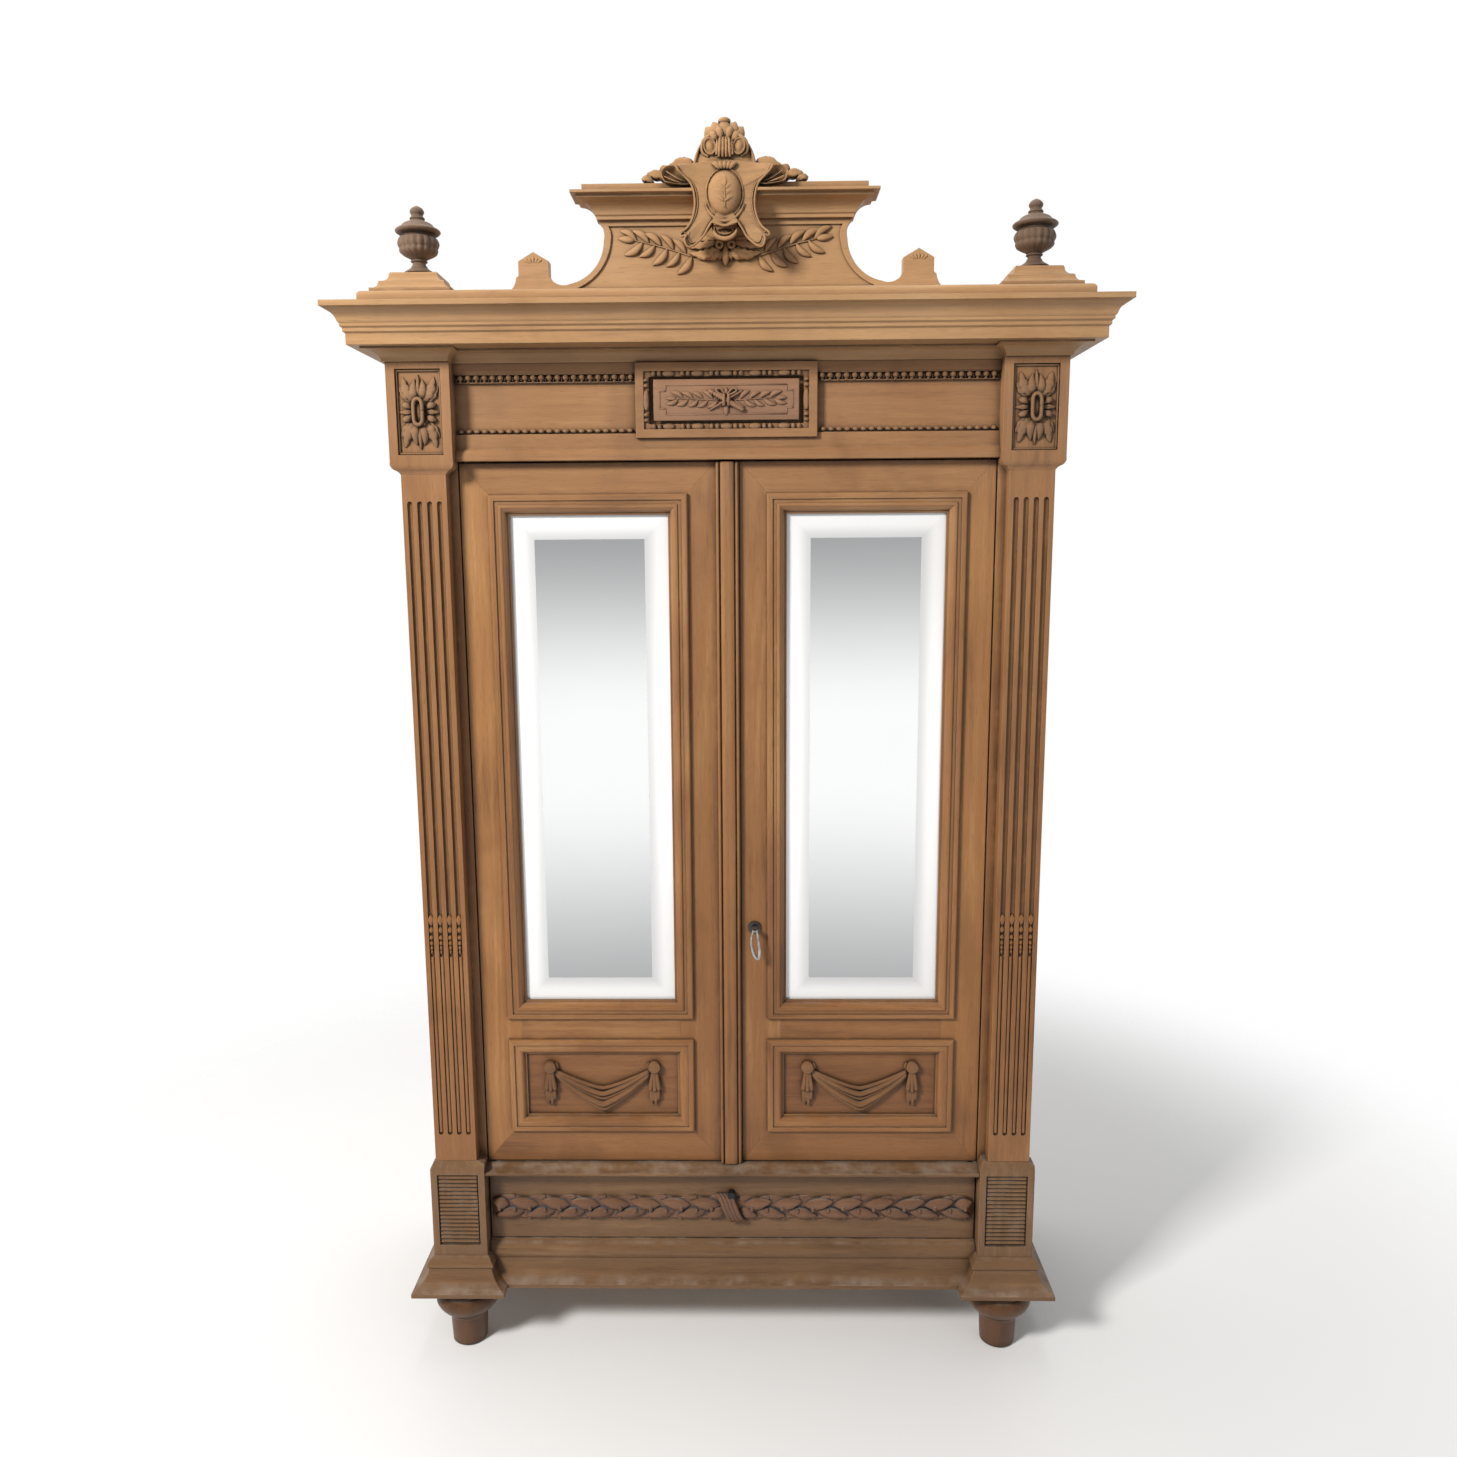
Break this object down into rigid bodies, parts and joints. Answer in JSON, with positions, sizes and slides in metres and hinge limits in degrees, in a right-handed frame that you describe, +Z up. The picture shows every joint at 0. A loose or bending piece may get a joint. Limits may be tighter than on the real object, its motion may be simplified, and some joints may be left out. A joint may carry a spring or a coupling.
{
  "type": "armoire",
  "caption": "Tall carved walnut armoire with two mirrored doors, a laurel-banded base drawer, a cornice and a broken-outline pediment with cartouche and finials.",
  "frame": {"origin": "on the floor, at the centre of the bounding box in plan", "axes": "+Z up, the doors face -Y, +X to the right when facing the doors"},
  "size_m": [1.484, 0.6, 2.5185],
  "materials": {
    "walnut": "waxed, worn",
    "light_walnut": "waxed, faded",
    "dark_walnut": "waxed, dark",
    "weathered_walnut": "dull, dusty",
    "plain_oak": "unfinished",
    "mirror_glass": "silvered, bevelled",
    "polished_steel": "worn bright",
    "dark_iron": "dull",
    "black_iron": "dull black",
    "brass": "aged"
  },
  "bodies": {
    "case": {"attic_board": "light_walnut", "back_frame": "plain_oak", "back_panels": "plain_oak", "bed_moulding": "light_walnut", "capitals": "walnut", "cartouche": "light_walnut", "case_boards": "plain_oak", "case_fittings": "dark_iron", "cornice": "light_walnut", "crest": "light_walnut", "drawer_runners": "plain_oak", "feet": "weathered_walnut", "finial_plinths": "light_walnut", "finials": "dark_walnut", "frieze_beads": "walnut", "frieze_board": "walnut", "frieze_frame": "walnut", "frieze_plaque": "dark_walnut", "frieze_rails": "walnut", "hanging_rod": "brass", "hat_shelf": "plain_oak", "ledge_moulding": "weathered_walnut", "pedestals": "weathered_walnut", "pediment_board": "light_walnut", "pediment_cornice": "light_walnut", "pediment_relief": "light_walnut", "pilasters": "walnut", "plinth_blocks": "weathered_walnut", "plinth_moulding": "weathered_walnut", "posts": "walnut", "rosettes": "walnut", "side_panels": "walnut", "side_rails": "walnut"},
    "left_door": {"battement": "walnut", "left_door_fittings": "dark_iron", "left_door_mirror": "mirror_glass", "left_door_mouldings": "walnut", "left_door_panels": "walnut", "left_door_pivots": "dark_iron", "left_door_rails": "walnut", "left_door_stiles": "walnut", "left_door_swag": "walnut"},
    "left_door_top_bolt": {"left_door_top_bolt": "dark_iron"},
    "left_door_bottom_bolt": {"left_door_bottom_bolt": "dark_iron"},
    "right_door": {"right_door_lock": "dark_iron", "right_door_mirror": "mirror_glass", "right_door_mouldings": "walnut", "right_door_panels": "walnut", "right_door_pivots": "dark_iron", "right_door_rails": "walnut", "right_door_stiles": "walnut", "right_door_swag": "walnut"},
    "lock_bolt": {"right_door_lock_bolt": "dark_iron"},
    "key": {"key": "polished_steel"},
    "key_bow": {"key_bow": "polished_steel"},
    "drawer": {"drawer_box": "plain_oak", "drawer_front": "weathered_walnut", "drawer_laurel": "weathered_walnut", "drawer_lock": "black_iron"},
    "drawer_lock_bolt": {"drawer_lock_bolt": "dark_iron"}
  },
  "joints": [
    {"name": "left_door_hinge", "type": "hinge", "parent": "case", "child": "left_door", "pos_m": [-0.5165, -0.164, 1.157], "axis": [0, 0, -1], "range_deg": [0, 95]},
    {"name": "right_door_hinge", "type": "hinge", "parent": "case", "child": "right_door", "pos_m": [0.5165, -0.164, 1.157], "axis": [0, 0, 1], "range_deg": [0, 95]},
    {"name": "top_bolt_slide", "type": "slide", "parent": "left_door", "child": "left_door_top_bolt", "axis": [0, 0, 1], "range_m": [0, 0.016]},
    {"name": "bottom_bolt_slide", "type": "slide", "parent": "left_door", "child": "left_door_bottom_bolt", "axis": [0, 0, -1], "range_m": [0, 0.016]},
    {"name": "key_turn", "type": "hinge", "parent": "right_door", "child": "key", "pos_m": [0.052, -0.173, 0.944], "axis": [0, 1, 0], "range_deg": [0, 90]},
    {"name": "lock_bolt_slide", "type": "slide", "parent": "right_door", "child": "lock_bolt", "axis": [-1, 0, 0], "range_m": [0, 0.012]},
    {"name": "key_bow_fold", "type": "hinge", "parent": "key", "child": "key_bow", "pos_m": [0.052, -0.198, 0.944], "axis": [-1, 0, 0], "range_deg": [0, 90]},
    {"name": "drawer_slide", "type": "slide", "parent": "case", "child": "drawer", "axis": [0, -1, 0], "range_m": [0, 0.38]},
    {"name": "drawer_bolt_slide", "type": "slide", "parent": "drawer", "child": "drawer_lock_bolt", "axis": [0, 0, 1], "range_m": [0, 0.008]}
  ],
  "couplings": [
    {"joint": "lock_bolt_slide", "follows": "key_turn", "m_per_rad": 0.0076}
  ]
}
